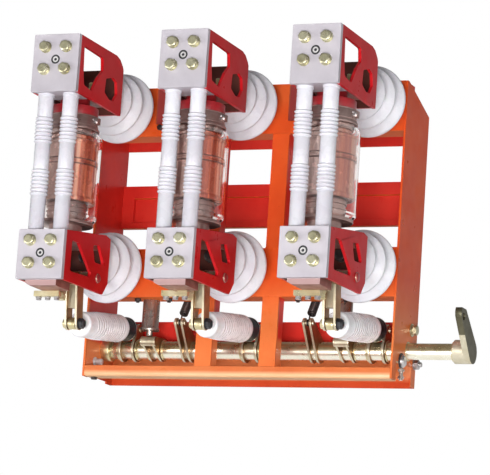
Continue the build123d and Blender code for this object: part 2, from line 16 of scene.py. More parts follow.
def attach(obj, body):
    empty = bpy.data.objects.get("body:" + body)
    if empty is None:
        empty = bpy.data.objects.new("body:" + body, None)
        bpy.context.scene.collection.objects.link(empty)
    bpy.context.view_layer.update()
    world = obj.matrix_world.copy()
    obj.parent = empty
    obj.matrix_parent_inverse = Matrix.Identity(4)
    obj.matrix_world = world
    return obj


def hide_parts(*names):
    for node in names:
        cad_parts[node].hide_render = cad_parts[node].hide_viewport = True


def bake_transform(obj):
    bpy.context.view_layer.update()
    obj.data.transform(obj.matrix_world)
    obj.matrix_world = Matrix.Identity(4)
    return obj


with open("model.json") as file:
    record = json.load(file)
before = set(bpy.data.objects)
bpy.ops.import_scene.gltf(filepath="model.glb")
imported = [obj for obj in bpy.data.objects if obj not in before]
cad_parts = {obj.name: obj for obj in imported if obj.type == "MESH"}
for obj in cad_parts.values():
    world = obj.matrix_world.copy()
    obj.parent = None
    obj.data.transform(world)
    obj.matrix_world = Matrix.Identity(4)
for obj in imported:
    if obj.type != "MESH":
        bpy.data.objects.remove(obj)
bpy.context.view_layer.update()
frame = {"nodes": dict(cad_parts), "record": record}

MM = 0.001
SHAFT_HEIGHT = 62.0
SIDES = (-1, 1)

# Sizes shared with the part, in millimetres
POLE_PITCH = 250.0
POLES = {"left": -POLE_PITCH, "middle": 0.0, "right": POLE_PITCH}
HALF_WIDTH = 307.0
SHEET = 4.0
FRAME_FRONT = -127.0
PLATE_FRONT = -451.5
PLATE_BACK = -441.5
PLATE_HALF = 45.0
CHEEK_INNER = 39.0
UPPER_PLATE = (465.4, 571.2)
LOWER_PLATE = (124.2, 214.0)
SHELF_TOP = 482.0
BLOCK_BOTTOM = 113.7
GUIDE_THICKNESS = 10
INTERRUPTER_Y = -358.5
ROD_Y = -427.0
ROD_OFFSET = 24.5
ROD_RADIUS = 14.0
GLASS_RADIUS = 54.5
GLASS_WALL = 3.0
GLASS_BOTTOM = 245.0
GLASS_TOP = 412.0
GLASS_MOUTH = 45.0
BEAD = 350.5
BOSS_BOTTOM = 438.0
INSULATOR_FRONT = -259.0
UPPER_INSULATOR = 502.0
LOWER_INSULATOR = 197.5
SHAFT_Y = -43.0
SHAFT_RADIUS = 17.0
SHAFT_END = 418.0
CRANK_RADIUS = 40.0
CRANK_LEAN = 7.5
CRANK_PIN = (
    SHAFT_Y + CRANK_RADIUS * sin(radians(CRANK_LEAN)),
    SHAFT_HEIGHT + CRANK_RADIUS * cos(radians(CRANK_LEAN)),
)
CRANK_HALF = 17.0
BELL_PIVOT = (-305.0, 151.0)
BELL_PIN = (-296.5, 69.7)
BELL_HALF = 12.7
STEM_BOTTOM = 102.0
STEM_NUT_TOP = 124.0
SPRING_X = 128.0
SPRING_TIP = (-95.0, 106.0)
SPRING_ANCHOR = (-42.0, 180.0)
SPRING_RADIUS = 8.5
BUFFER_X = 193.0
BUFFER_HALF = 13.0


# Placing and mesh building

AXES = {
    "+X": Matrix(((0, 0, 1), (1, 0, 0), (0, 1, 0))),
    "-X": Matrix(((0, 0, -1), (-1, 0, 0), (0, 1, 0))),
    "+Y": Matrix(((-1, 0, 0), (0, 0, 1), (0, 1, 0))),
    "-Y": Matrix(((1, 0, 0), (0, 0, -1), (0, 1, 0))),
    "+Z": Matrix.Identity(3),
    "-Z": Matrix(((1, 0, 0), (0, -1, 0), (0, 0, -1))),
}


def level(height):
    """A height in metres from millimetres over the frame's underside."""
    return (height - SHAFT_HEIGHT) * MM


def at(x, y, z):
    """A point in metres from millimetres, its height from the frame's underside."""
    return Vector((x, y, z - SHAFT_HEIGHT)) * MM


def place(x, y, z, axis="+Z"):
    """A matrix from local millimetres, whose Z runs along axis, to metres."""
    return Matrix.Translation(at(x, y, z)) @ (AXES[axis] * MM).to_4x4()


def outward(side):
    """The X direction that leads away from the middle on one side."""
    return "+X" if side > 0 else "-X"


def along(start, end):
    """Like place(), with Z running from one point to another, and their distance."""
    a, b = at(*start), at(*end)
    run = b - a
    turn = run.to_track_quat("Z", "Y").to_matrix()
    return Matrix.Translation(a) @ (turn * MM).to_4x4(), run.length / MM


def rounded(points, radius, steps):
    """A polyline with arcs of a radius at its inner corners, as far as they fit."""
    least_bend, most_of_side = 0.05, 0.48
    out = [points[0]]
    for before, corner, after in zip(points, points[1:], points[2:]):
        middle = Vector(corner)
        a, b = Vector(before) - middle, Vector(after) - middle
        bend = pi - a.angle(b)
        if bend < least_bend:
            out.append(corner)
            continue
        reach = radius * abs(sin(bend / 2) / cos(bend / 2))
        back = min(reach, a.length * most_of_side, b.length * most_of_side)
        p0 = middle + a.normalized() * back
        p1 = middle + b.normalized() * back
        for i in range(steps + 1):
            t = i / steps
            out.append(tuple(p0 * (1 - t) ** 2 + middle * 2 * t * (1 - t) + p1 * t * t))
    out.append(points[-1])
    return out


def skin(bm, a, b):
    """Faces between two rings of as many vertices."""
    for i in range(len(a)):
        j = (i + 1) % len(a)
        bm.faces.new([a[i], a[j], b[j], b[i]])


def lathe(bm, matrix, profile, segments=48, closed=False):
    """A turned surface from radius and height pairs about the matrix's Z."""
    turns = [2 * pi * i / segments for i in range(segments)]
    rings = []
    for r, h in profile:
        spots = [(0, 0)] if r < 1e-6 else [(r * cos(t), r * sin(t)) for t in turns]
        rings.append([bm.verts.new(matrix @ Vector((x, y, h))) for x, y in spots])
    pairs = list(zip(rings, rings[1:]))
    if closed:
        pairs.append((rings[-1], rings[0]))
    for a, b in pairs:
        for i in range(segments):
            j = (i + 1) % segments
            corners = [a[i % len(a)], a[j % len(a)], b[j % len(b)], b[i % len(b)]]
            unique = list(dict.fromkeys(corners))
            if len(unique) > 2:
                bm.faces.new(unique)


def prism(bm, matrix, outline, low, high):
    """A straight solid over an outline of X and Y pairs."""
    bottom = [bm.verts.new(matrix @ Vector((x, y, low))) for x, y in outline]
    top = [bm.verts.new(matrix @ Vector((x, y, high))) for x, y in outline]
    bm.faces.new(bottom[::-1])
    bm.faces.new(top)
    skin(bm, bottom, top)


def hexagon(bm, matrix, across, low, high, chamfer_low=False, turn=0.0):
    """A hexagonal head or nut with the usual round chamfer on its corners."""
    flat = across / 2
    face, slope = flat * 0.94, 0.5
    per_side = 4
    count = 6 * per_side
    corners = []
    for i in range(count):
        angle = 2 * pi * i / count
        from_flat = (angle + pi / 6) % (pi / 3) - pi / 6
        corners.append((angle + turn, flat / cos(from_flat)))

    def ring(height, chamfer=0, radius=None):
        """A ring along the hexagon, lowered by its chamfer, or a round one."""
        verts = []
        for angle, r in corners:
            z = height - chamfer * (r - face) * slope
            reach = radius or r
            spot = Vector((reach * cos(angle), reach * sin(angle), z))
            verts.append(bm.verts.new(matrix @ spot))
        return verts

    rings = [ring(high, radius=face), ring(high, 1)]
    if chamfer_low:
        rings += [ring(low, -1), ring(low, radius=face)]
    else:
        rings.append(ring(low))
    bm.faces.new(rings[0])
    bm.faces.new(rings[-1][::-1])
    for a, b in zip(rings, rings[1:]):
        for i in range(count):
            j = (i + 1) % count
            bm.faces.new([a[i], b[i], b[j], a[j]])


def disc(bm, matrix, radius, low, high, hole=0.0, edge=0.4):
    """A flat washer, boss or short round bar with softened edges."""
    flat = radius - edge
    outer = [(flat, low), (radius, low + edge), (radius, high - edge), (flat, high)]
    profile = [(hole, low), *outer, (hole, high)]
    lathe(bm, matrix, profile, 40, closed=bool(hole))


def thread(bm, matrix, radius, low, high, pitch):
    """A threaded end drawn as rings of one pitch."""
    root, tip = radius * 0.88, radius * 0.8
    profile = [(0, low)]
    for i in range(max(1, int((high - low) / pitch))):
        base = low + i * pitch
        profile += [(root, base), (radius, base + pitch / 2)]
    lathe(bm, matrix, [*profile, (tip, high), (0, high)], 20)


def bolt(bm, matrix, size, washer, turn, spring=True):
    """A hexagon bolt head on a flat washer and a spring washer."""
    base = 2.5
    disc(bm, matrix, washer / 2, 0, base, edge=0.5)
    if spring:
        thick = 2.6
        disc(bm, matrix, size * 0.86, base, base + thick, edge=0.5)
        base += thick
    head = size * 0.62
    hexagon(bm, matrix, size * 1.55, base, base + head, turn=turn)
    disc(bm, matrix, head, base + size * 0.6, base + size * 0.64, edge=0.1)


def nut(bm, matrix, size, washer, turn, end):
    """A nut on a washer, with the thread's end standing out of it."""
    base, high = 2.0, size * 0.8
    disc(bm, matrix, washer / 2, 0, base)
    hexagon(bm, matrix, size * 1.6, base, base + high, chamfer_low=True, turn=turn)
    thread(bm, matrix, size / 2, base + size * 0.6, base + high + end, pitch=1.5)


def sweep(bm, points, radius, segments):
    """A round wire along points given in metres."""
    rings = []
    side = None
    for i, point in enumerate(points):
        before = points[max(i - 1, 0)]
        after = points[min(i + 1, len(points) - 1)]
        run = (after - before).normalized()
        if side is None:
            side = run.orthogonal().normalized()
        side = (side - run * side.dot(run)).normalized()
        up = run.cross(side)
        ring = []
        for k in range(segments):
            t = 2 * pi * k / segments
            ring.append(bm.verts.new(point + (side * cos(t) + up * sin(t)) * radius * MM))
        rings.append(ring)
    for a, b in zip(rings, rings[1:]):
        skin(bm, a, b)
    bm.faces.new(rings[0][::-1])
    bm.faces.new(rings[-1])


def piece(name, body, slot_name, material, draw, *where, stands_for=(), angle=32.0):
    """Makes one named piece from a function that draws into a mesh at a place.

    It rides on one body; given anything but a body's name, it stays where it is drawn.
    Edges stay sharp above an angle in degrees.
    """
    bm = bmesh.new()
    draw(bm, *where)
    bmesh.ops.recalc_face_normals(bm, faces=bm.faces)
    mesh = bpy.data.meshes.new(name)
    bm.to_mesh(mesh)
    bm.free()
    mesh.polygons.foreach_set("use_smooth", [True] * len(mesh.polygons))
    mesh.set_sharp_from_angle(angle=radians(angle))
    mesh.materials.append(material)
    obj = bpy.data.objects.new(name, mesh)
    bpy.context.scene.collection.objects.link(obj)
    if isinstance(body, str):
        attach(obj, body)
    else:
        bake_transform(obj)
    if stands_for:
        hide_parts(*stands_for)


# Materials

# Noise scales along X, Y and Z
ALONG_SHAFT = (12.0, 500.0, 500.0)
EVEN = (300.0, 300.0, 300.0)


class Tree:
    """A small helper round a node tree."""

    def __init__(self, tree):
        self.tree = tree

    def feed(self, node, inputs):
        """Gives inputs a number, a colour or a scale, or links a source to them."""
        for name, value in inputs.items():
            socket = node.inputs[name]
            if isinstance(value, (int, float)):
                socket.default_value = value
            elif isinstance(value, tuple):
                socket.default_value = (*value, 1)[: len(socket.default_value)]
            else:
                self.tree.links.new(value, socket)

    def add(self, kind, inputs=None, **settings):
        node = self.tree.nodes.new(kind)
        for key, value in settings.items():
            setattr(node, key, value)
        self.feed(node, inputs or {})
        return node

    def calc(self, a, b=0.0, operation="MULTIPLY"):
        return self.add("ShaderNodeMath", {0: a, 1: b}, operation=operation).outputs[0]

    def inverse(self, source):
        return self.calc(1.0, source, "SUBTRACT")

    def split(self, vector, axis):
        return self.add("ShaderNodeSeparateXYZ", {"Vector": vector}).outputs[axis]

    def span(self, source, low, high, start=0.3, end=0.7):
        """A source between start and end, as a number between low and high."""
        ends = {"From Min": start, "From Max": end, "To Min": low, "To Max": high}
        return self.add("ShaderNodeMapRange", {"Value": source, **ends}).outputs["Result"]


class Nodes(Tree):
    """The node tree of one new material, in the part's own coordinates."""

    def __init__(self, name):
        self.material = bpy.data.materials.new(name)
        self.material.use_nodes = True
        super().__init__(self.material.node_tree)
        self.shader = self.tree.nodes["Principled BSDF"]
        self.coordinates = self.add("ShaderNodeTexCoord").outputs
        self.place = self.coordinates["Object"]

    def axis(self, name):
        """The place along one axis, in metres."""
        return self.split(self.place, name)

    def facing(self, name):
        """How far a face looks along one axis, from -1 to 1."""
        return self.split(self.coordinates["Normal"], name)

    def noise(self, scale, detail, roughness=0.55, vector=None):
        inputs = {"Vector": vector or self.place, "Scale": scale, "Detail": detail}
        node = self.add("ShaderNodeTexNoise", {**inputs, "Roughness": roughness})
        return node.outputs["Fac"]

    def lines(self, grain, detail=2.0):
        """Noise with its own scale along each axis, as in brushed metal."""
        node = self.add("ShaderNodeMapping", {"Vector": self.place, "Scale": grain})
        return self.noise(1.0, detail, 0.5, node.outputs["Vector"])

    def beyond(self, source, limit, soft=0.4):
        """1 where a source in metres is past a limit in millimetres."""
        return self.span(source, 0.0, 1.0, limit * MM - soft * MM, limit * MM)

    def above(self, height, soft=0.4):
        """1 above a height over the frame's underside."""
        return self.beyond(self.axis("Z"), height - SHAFT_HEIGHT, soft)

    def below(self, height, soft=0.4):
        return self.inverse(self.above(height, soft))

    def rise(self, bottom, top, low, high):
        """From low at one height to high at another one."""
        return self.span(self.axis("Z"), low, high, level(bottom), level(top))

    def drift(self, low, high, scale=60.0, detail=4.0):
        """A number that drifts between two values."""
        return self.span(self.noise(scale, detail), low, high)

    def ramp(self, source, *stops):
        """Colours at their places along a source."""
        node = self.add("ShaderNodeValToRGB", {"Fac": source})
        elements = node.color_ramp.elements
        for element, (position, colour) in zip(elements, (stops[0], stops[-1])):
            element.position, element.color = position, (*colour, 1)
        for position, colour in stops[1:-1]:
            elements.new(position).color = (*colour, 1)
        return node.outputs["Color"]

    def clouds(self, dark, light, scale=26.0, roughness=0.62, start=0.28):
        """Two colours that drift into each other."""
        return self.ramp(self.noise(scale, 5.0, roughness), (start, dark), (0.7, light))

    def mix(self, factor, a, b, mode="MIX"):
        """From one colour to another; they are the node's inputs 6 and 7."""
        inputs = {0: factor, 6: a, 7: b}
        node = self.add("ShaderNodeMix", inputs, data_type="RGBA", blend_type=mode)
        return node.outputs[2]

    def bump(self, source, strength, distance=0.0004, normal=None):
        inputs = {"Height": source, "Strength": strength, "Distance": distance}
        if normal is not None:
            inputs["Normal"] = normal
        return self.add("ShaderNodeBump", inputs).outputs["Normal"]

    def finish(self, colour, roughness, normal, **sockets):
        inputs = {key.replace("_", " "): value for key, value in sockets.items()}
        inputs |= {"Base Color": colour, "Roughness": roughness, "Normal": normal}
        self.feed(self.shader, inputs)
        return self.material


def enamel(name, coat, light_and_shade_zones=(), *, gloss, dull_below=0.0):
    """Sprayed enamel: soft orange peel, cloudy colour and small dust specks.

    The coat is a base, a deep and a light colour. Each zone is a function that
    gives 1 where two other colours are painted in as light or shade, such as the
    painted shade on a frame's inner faces or in the inside of a bracket, and a
    later zone covers an earlier one. dull_below is the roughness added on faces
    that look down.
    """
    base, deep, light = coat
    n = Nodes(name)
    colour = n.ramp(n.noise(7.0, 4.0), (0.3, deep), (0.5, base), (0.72, light))
    for within, dark, pale in light_and_shade_zones:
        inner = n.ramp(n.noise(9.0, 4.0), (0.3, dark), (0.7, pale))
        colour = n.mix(within(n), colour, inner)
    specks = n.span(n.noise(420.0, 1.0), 0.0, 0.35, 0.72, 0.8)
    colour = n.mix(specks, colour, tuple(c * 0.35 for c in deep))
    roughness = n.drift(0.26, 0.42, 24.0, 5.0)
    peel = n.bump(n.noise(320.0, 2.0), 0.10, 0.0006)
    normal = n.bump(n.noise(30.0, 3.0), 0.10, 0.0016, peel)
    if dull_below:
        roughness = n.calc(roughness, n.calc(undersides(n), dull_below), "ADD")
    return n.finish(
        colour,
        roughness,
        normal,
        Coat_Weight=0.06,
        Coat_Roughness=0.18,
        Specular_IOR_Level=gloss,
    )


def foot(n):
    """The lowest strip of the inner faces, where a darker red is painted as shade."""
    return n.calc(n.below(22, 12), inner_faces(n))


def lit_inner_low(n):
    """The inner faces up to about the shaft's height, where a paler orange is painted as
    light.
    """
    return n.calc(n.below(76, 10), inner_faces(n))


def lit_right_foot(n):
    """What the notch at the foot of the right panel lets the eye see, where a paler orange is
    painted as light.
    """
    return n.calc(n.beyond(n.axis("X"), HALF_WIDTH - 20.0, 2), lit_inner_low(n))


def outer_sides(n):
    """The outer faces of the end panels, which get painted shade in the orange coat."""
    return n.beyond(n.calc(n.axis("X"), operation="ABSOLUTE"), HALF_WIDTH - 0.4)


def undersides(n):
    """Faces that look straight down."""
    return n.span(n.facing("Z"), 1.0, 0.0, -0.8, -0.5)


def lip_highlight(n):
    """The bend along the lower edge of the bottom beam and the face below it, which get a
    painted highlight.
    """
    return n.calc(n.rise(5, 12, 1.0, 0.0), undersides(n), "MAXIMUM")


def lit_low_down(n):
    """Fades in towards the foot of the frame, where a paler coat is painted as light from
    below.
    """
    return n.rise(95, 190, 1.0, 0.0)


def inner_faces(n):
    """Behind the front sheet of the frame and between its outer and rear faces."""
    depth = n.beyond(n.axis("Y"), FRAME_FRONT + 7, 3)
    forward = n.span(n.facing("Y"), 1.0, 0.0, 0.5, 0.8)
    return n.calc(n.calc(depth, forward), n.inverse(outer_sides(n)))


def shaded_bracket_inside(n):
    """Between the cheeks of a bracket and in front of its rear wall, where a dark brown is
    painted as shade.
    """
    off_pole = n.calc(n.axis("X"), POLE_PITCH * MM / 2, "PINGPONG")
    outer = n.beyond(off_pole, CHEEK_INNER + 1.0, 0.8)
    behind = n.beyond(n.axis("Y"), INSULATOR_FRONT - 5.0)
    return n.calc(n.inverse(outer), n.inverse(behind))


def cast_resin(name, base, shade, flow=0.06):
    """Glossy white cast resin: dust, and flow marks of a given strength."""
    n = Nodes(name)
    colour = n.ramp(n.noise(9.0, 3.0), (0.3, shade), (0.62, base))
    dust = n.span(n.noise(160.0, 3.0), 0.0, 0.10, 0.55, 0.75)
    colour = n.mix(dust, colour, (0.62, 0.55, 0.56))
    return n.finish(
        colour,
        n.drift(0.20, 0.36, 40.0, 3.0),
        n.bump(n.noise(110.0, 2.0), flow, 0.001),
        Coat_Weight=0.3,
        Coat_Roughness=0.12,
        Subsurface_Weight=0.04,
    )


def plated(name, dark, light, *, rough, metallic, grain=EVEN, tint=None):
    """Plated or brushed metal: grain along one direction, clouds and fine scratches."""
    n = Nodes(name)
    middle = [(0.5, tint)] if tint else []
    cloud = n.ramp(n.noise(26.0, 5.0, 0.62), (0.28, dark), *middle, (0.7, light))
    lines = n.lines(grain)
    scratch = n.span(lines, 0.88, 1.08)
    grey = n.add("ShaderNodeCombineColor", dict.fromkeys(("Red", "Green", "Blue"), scratch))
    colour = n.mix(1.0, cloud, grey.outputs[0], "MULTIPLY")
    return n.finish(colour, n.drift(*rough), n.bump(lines, 0.12), Metallic=metallic)


def clear_glass():
    """The clear envelope, with faint drawn streaks."""
    n = Nodes("clear_glass")
    colour = n.ramp(n.noise(14.0, 2.0), (0.3, (0.97, 0.93, 0.91)), (0.7, (1.0, 0.98, 0.97)))
    roughness = n.drift(0.0, 0.03, 30.0, 2.0)
    normal = n.bump(n.lines((26.0, 26.0, 1.0), 1.0), 0.03, 0.0006)
    return n.finish(colour, roughness, normal, Transmission_Weight=1.0, IOR=1.45)


def shield_metal():
    """The shields: pinkish drawn metal, with painted reflections in the colour of its
    streaks and an orange painted reflection on the side towards the right panel.

    A line of painted shade runs on each side of the double bead. The right pole's
    shield has painted light, paler, on one side and painted shade, browner, on the other.
    """
    n = Nodes("copper_shield")
    half = POLE_PITCH * MM / 2
    # Drawn grain in the bump, and painted reflections in the colour
    streaks = n.lines((80.0, 80.0, 1.5))
    cool = n.ramp(
        streaks,
        (0.38, (0.34, 0.17, 0.14)),
        (0.45, (0.62, 0.39, 0.34)),
        (0.62, (0.78, 0.56, 0.50)),
    )
    # An orange painted reflection for the side towards the right panel
    warm_reflection = n.ramp(
        streaks,
        (0.40, (0.46, 0.07, 0.03)),
        (0.5, (0.88, 0.22, 0.09)),
        (0.60, (0.98, 0.52, 0.34)),
    )
    side = n.calc(n.axis("X"), half, "WRAP")
    n.feed(side.node, {2: -half})
    # On the right pole: painted light on one side, painted shade on the other
    right_pole_lighting = n.beyond(n.axis("X"), POLE_PITCH / 2, 2)
    cool = n.mix(right_pole_lighting, cool, n.mix(0.45, cool, (0.95, 0.80, 0.76)))
    warm_reflection = n.mix(right_pole_lighting, warm_reflection, n.mix(0.6, warm_reflection, (0.20, 0.09, 0.08)))
    colour = n.mix(n.span(side, 0.0, 0.9, 16 * MM, 34 * MM), cool, warm_reflection)
    # Painted shade: a dark line on each side of the double bead
    off_bead = n.calc(n.calc(n.axis("Z"), level(BEAD), "SUBTRACT"), operation="ABSOLUTE")
    line = n.calc(n.beyond(off_bead, 3.4), n.inverse(n.beyond(off_bead, 6.2)))
    colour = n.mix(n.calc(line, 0.75), colour, (0.10, 0.04, 0.035))
    roughness = n.drift(0.2, 0.3, 40.0, 3.0)
    return n.finish(colour, roughness, n.bump(streaks, 0.1, 0.0006), Metallic=0.3)


def moulded(name, base, light):
    """Black moulded plastic or dark rubber."""
    n = Nodes(name)
    colour = n.ramp(n.noise(60.0, 4.0), (0.35, base), (0.7, light))
    roughness = n.drift(0.35, 0.55, 90.0, 3.0)
    return n.finish(colour, roughness, n.bump(n.noise(500.0, 2.0), 0.12))


def plate_silver(name, plate, shaded_copper_behind):
    """Matt silver plating, darker towards the plate's bottom edge as painted shade, with a
    pinkish painted reflection below the plate and dark brown copper painted as shade behind a
    depth.
    """
    n = Nodes(name)
    cloud = n.clouds((0.56, 0.52, 0.57), (0.64, 0.60, 0.65))
    # Painted shade: darker towards the plate's bottom edge
    cloud = n.mix(1.0, cloud, n.rise(*plate, 0.86, 1.0), "MULTIPLY")
    # Painted shade: dark brown copper behind a depth
    copper = n.clouds((0.20, 0.055, 0.04), (0.36, 0.13, 0.10), 40.0, 0.6, 0.3)
    # Painted reflection: pinkish below the plate
    cloud = n.mix(n.below(plate[0] - 0.2), cloud, (0.46, 0.29, 0.28))
    colour = n.mix(n.beyond(n.axis("Y"), shaded_copper_behind), cloud, copper)
    normal = n.bump(n.lines((900.0, 40.0, 40.0)), 0.12)
    return n.finish(colour, n.drift(0.40, 0.58), normal, Metallic=0.2)


def shaded_lever_arm(n):
    """The end lever's arm above its boss and the lever's outer face, which get painted shade.
    """
    arm = n.calc(n.above(85), n.beyond(n.axis("X"), 417.6))
    return n.calc(n.beyond(n.axis("X"), 429.6), arm, "MAXIMUM")


def shaded_upper_side(n):
    """Every face but those that look down. They get a darker zinc as painted shade, and the
    faces that look down keep the pale zinc as painted light from below.
    """
    return n.span(n.facing("Z"), 0.0, 1.0, -0.25, 0.15)


def shaded_plate_faces(n):
    """The faces of a lever cut from plate, without its cut edges. The faces get a darker brown
    as painted shade, and the cut edges keep the pale zinc as a painted highlight.
    """
    return n.span(n.calc(n.facing("X"), operation="ABSOLUTE"), 0.0, 1.0, 0.75, 0.9)


def two_zincs(name, general, zone, own, *, scale=34.0, rough, metallic):
    """Brushed yellow zinc with two darker colours painted as shade in a zone."""
    n = Nodes(name)
    colour = n.mix(zone(n), n.clouds(*general), n.clouds(*own, scale, 0.6, 0.3))
    normal = n.bump(n.lines(ALONG_SHAFT), 0.1)
    return n.finish(colour, n.drift(*rough), normal, Metallic=metallic)


ORANGE = enamel(
    "orange_enamel",
    ((0.80, 0.096, 0.018), (0.72, 0.066, 0.012), (0.86, 0.145, 0.032)),
    (
        # Painted shade: a darker orange on the outer faces of the end panels
        (outer_sides, (0.74, 0.070, 0.010), (0.82, 0.105, 0.018)),
        # Painted light from below: the coat paler towards the foot of the frame
        (lit_low_down, (0.76, 0.15, 0.034), (0.84, 0.22, 0.062)),
        # Painted shade: a deep red on the inner faces of the frame
        (inner_faces, (0.74, 0.026, 0.020), (0.86, 0.055, 0.036)),
        # Painted light from below: a more golden orange on faces that look down
        (undersides, (0.72, 0.13, 0.020), (0.80, 0.19, 0.038)),
        # Painted light: a paler orange on the inner faces below the shaft
        (lit_inner_low, (0.85, 0.21, 0.064), (0.91, 0.28, 0.10)),
        # Painted light: a paler orange on what the right panel's notch shows
        (lit_right_foot, (0.84, 0.25, 0.10), (0.90, 0.33, 0.15)),
        # Painted shade: a darker red on the lowest strip of the inner faces
        (foot, (0.50, 0.045, 0.012), (0.62, 0.075, 0.022)),
    ),
    gloss=0.14,
    dull_below=0.4,
)
# The bottom beam: a paler, more golden copy of the orange coat, painted as light from below
LIT_BEAM_ORANGE = enamel(
    "lit_beam_enamel",
    ((0.72, 0.185, 0.05), (0.68, 0.14, 0.034), (0.76, 0.235, 0.07)),
    # Painted highlight: a pale orange along the bend of the beam and the face below it
    ((lip_highlight, (0.92, 0.50, 0.26), (0.96, 0.58, 0.33)),),
    gloss=0.3,
    dull_below=0.4,
)
BOSS_RED = enamel(
    "boss_enamel",
    ((0.34, 0.014, 0.020), (0.27, 0.009, 0.014), (0.42, 0.024, 0.030)),
    gloss=0.6,
)
BRACKET_RED = enamel(
    "bracket_enamel",
    ((0.62, 0.008, 0.014), (0.52, 0.005, 0.009), (0.70, 0.015, 0.020)),
    # Painted shade: dark brown inside each bracket
    ((shaded_bracket_inside, (0.09, 0.026, 0.020), (0.16, 0.050, 0.038)),),
    gloss=0.12,
)
WHITE = cast_resin("white_cast_resin", (0.81, 0.80, 0.84), (0.74, 0.71, 0.77))
STAY_WHITE = cast_resin("stay_resin", (0.73, 0.72, 0.77), (0.64, 0.61, 0.67))
ROD_WHITE = cast_resin("rod_resin", (0.88, 0.87, 0.89), (0.83, 0.81, 0.84), flow=0.01)
UPPER_SILVER = plate_silver("upper_silver", UPPER_PLATE, shaded_copper_behind=-386.5)
LOWER_SILVER = plate_silver("lower_silver", LOWER_PLATE, shaded_copper_behind=-440.8)
CLAMP = plated(
    "clamp_metal",
    (0.30, 0.19, 0.17),
    (0.52, 0.37, 0.34),
    rough=(0.25, 0.45),
    metallic=0.8,
    grain=(40.0, 40.0, 700.0),
)
ZINC = plated(
    "yellow_zinc",
    (0.56, 0.47, 0.25),
    (0.84, 0.76, 0.52),
    rough=(0.26, 0.38),
    metallic=0.9,
    grain=ALONG_SHAFT,
    tint=(0.70, 0.61, 0.36),
)
OLIVE = plated(
    "olive_zinc",
    (0.36, 0.32, 0.19),
    (0.68, 0.65, 0.47),
    rough=(0.24, 0.36),
    metallic=0.8,
    tint=(0.53, 0.50, 0.33),
)
PIN_STEEL = plated(
    "pin_steel", (0.62, 0.60, 0.60), (0.82, 0.80, 0.79), rough=(0.25, 0.4), metallic=0.35
)
STEEL = plated(
    "bright_steel", (0.40, 0.38, 0.38), (0.66, 0.63, 0.62), rough=(0.2, 0.4), metallic=1.0
)
DARK = plated(
    "dark_steel",
    (0.035, 0.030, 0.032),
    (0.12, 0.10, 0.095),
    rough=(0.3, 0.5),
    metallic=0.9,
    grain=(400.0, 60.0, 60.0),
)
BROWN = plated(
    "brown_steel",
    (0.30, 0.24, 0.20),
    (0.58, 0.50, 0.45),
    rough=(0.22, 0.36),
    metallic=0.8,
    grain=(300.0, 300.0, 10.0),
)
# The end lever: dark olive painted shade on its arm and outer face
LEVER_ZINC = two_zincs(
    "lever_zinc",
    ((0.54, 0.47, 0.31), (0.82, 0.77, 0.62)),
    shaded_lever_arm,
    ((0.085, 0.078, 0.045), (0.17, 0.155, 0.10)),
    rough=(0.36, 0.5),
    metallic=0.75,
)
# Levers cut from plate: painted shade on their faces, painted highlight on their cut edges
PLATE_ZINC = two_zincs(
    "plate_zinc",
    ((0.54, 0.46, 0.31), (0.76, 0.69, 0.52)),
    shaded_plate_faces,
    ((0.26, 0.13, 0.05), (0.46, 0.27, 0.12)),
    rough=(0.28, 0.42),
    metallic=0.8,
)
# The shaft: painted shade on its upper side, pale painted light underneath
SHAFT_ZINC = two_zincs(
    "shaft_zinc",
    ((0.84, 0.78, 0.60), (0.95, 0.92, 0.80)),
    shaded_upper_side,
    ((0.46, 0.35, 0.17), (0.68, 0.57, 0.34)),
    scale=30.0,
    rough=(0.24, 0.34),
    metallic=0.85,
)
BLACK = moulded("black_moulding", (0.012, 0.012, 0.014), (0.04, 0.04, 0.045))
GLASS = clear_glass()
SHIELD = shield_metal()

SLOT_MATERIALS = {
    "orange_paint": ORANGE,
    "red_paint": BRACKET_RED,
    "white_epoxy": WHITE,
    "grey_metal": STEEL,
    "clear_glass": GLASS,
    "copper_shield": SHIELD,
    "yellow_zinc": ZINC,
    "dark_steel": DARK,
    "black_plastic": BLACK,
}
NODE_MATERIALS = {
    "upper_terminals": UPPER_SILVER,
    "lower_terminals": LOWER_SILVER,
    "end_lever": LEVER_ZINC,
    "main_shaft": SHAFT_ZINC,
    "spring_levers": PLATE_ZINC,
    "buffer_levers": PLATE_ZINC,
    "phase_cranks": PLATE_ZINC,
    "top_bosses": BOSS_RED,
    "bottom_beam": LIT_BEAM_ORANGE,
    "clamp_rings": CLAMP,
    "buffers": BROWN,
    **{f"bell_crank_{side}": PLATE_ZINC for side in POLES},
}


def finish_nodes():
    """Gives every CAD node its own finish or that of its slot, and soft edges."""
    slots = {entry["node"]: entry["material_slot"] for entry in frame["record"]["subparts"]}
    for name, obj in frame["nodes"].items():
        material = NODE_MATERIALS.get(name, SLOT_MATERIALS[slots[name]])
        if not obj.material_slots:
            obj.data.materials.append(material)
        for held in obj.material_slots:
            held.material = material
        weld = obj.modifiers.new("weld", "WELD")
        weld.merge_threshold = 0.02 * MM
        soft = obj.modifiers.new("soft_edges", "BEVEL")
        soft.width = 0.8 * MM
        soft.segments = 2
        soft.limit_method = "ANGLE"
        soft.angle_limit = radians(40)
        soft.harden_normals = True


finish_nodes()


# Insulators, rods and interrupters

# Radius and distance from the front face, sheds growing towards the frame
INSULATOR = [
    (0, 0),
    (34, 0),
    (34, 16),
    (49, 34),
    (49, 38),
    (38, 46),
    (59, 60),
    (59, 65),
    (44, 73),
    (67, 91),
    (67, 97),
    (50, 106),
    (46, 132),
    (0, 132),
]


def draw_insulators(bm, height):
    """The three post insulators of one level."""
    for x in POLES.values():
        lathe(bm, place(x, INSULATOR_FRONT, height, "+Y"), rounded(INSULATOR, 7.0, 6), 96)


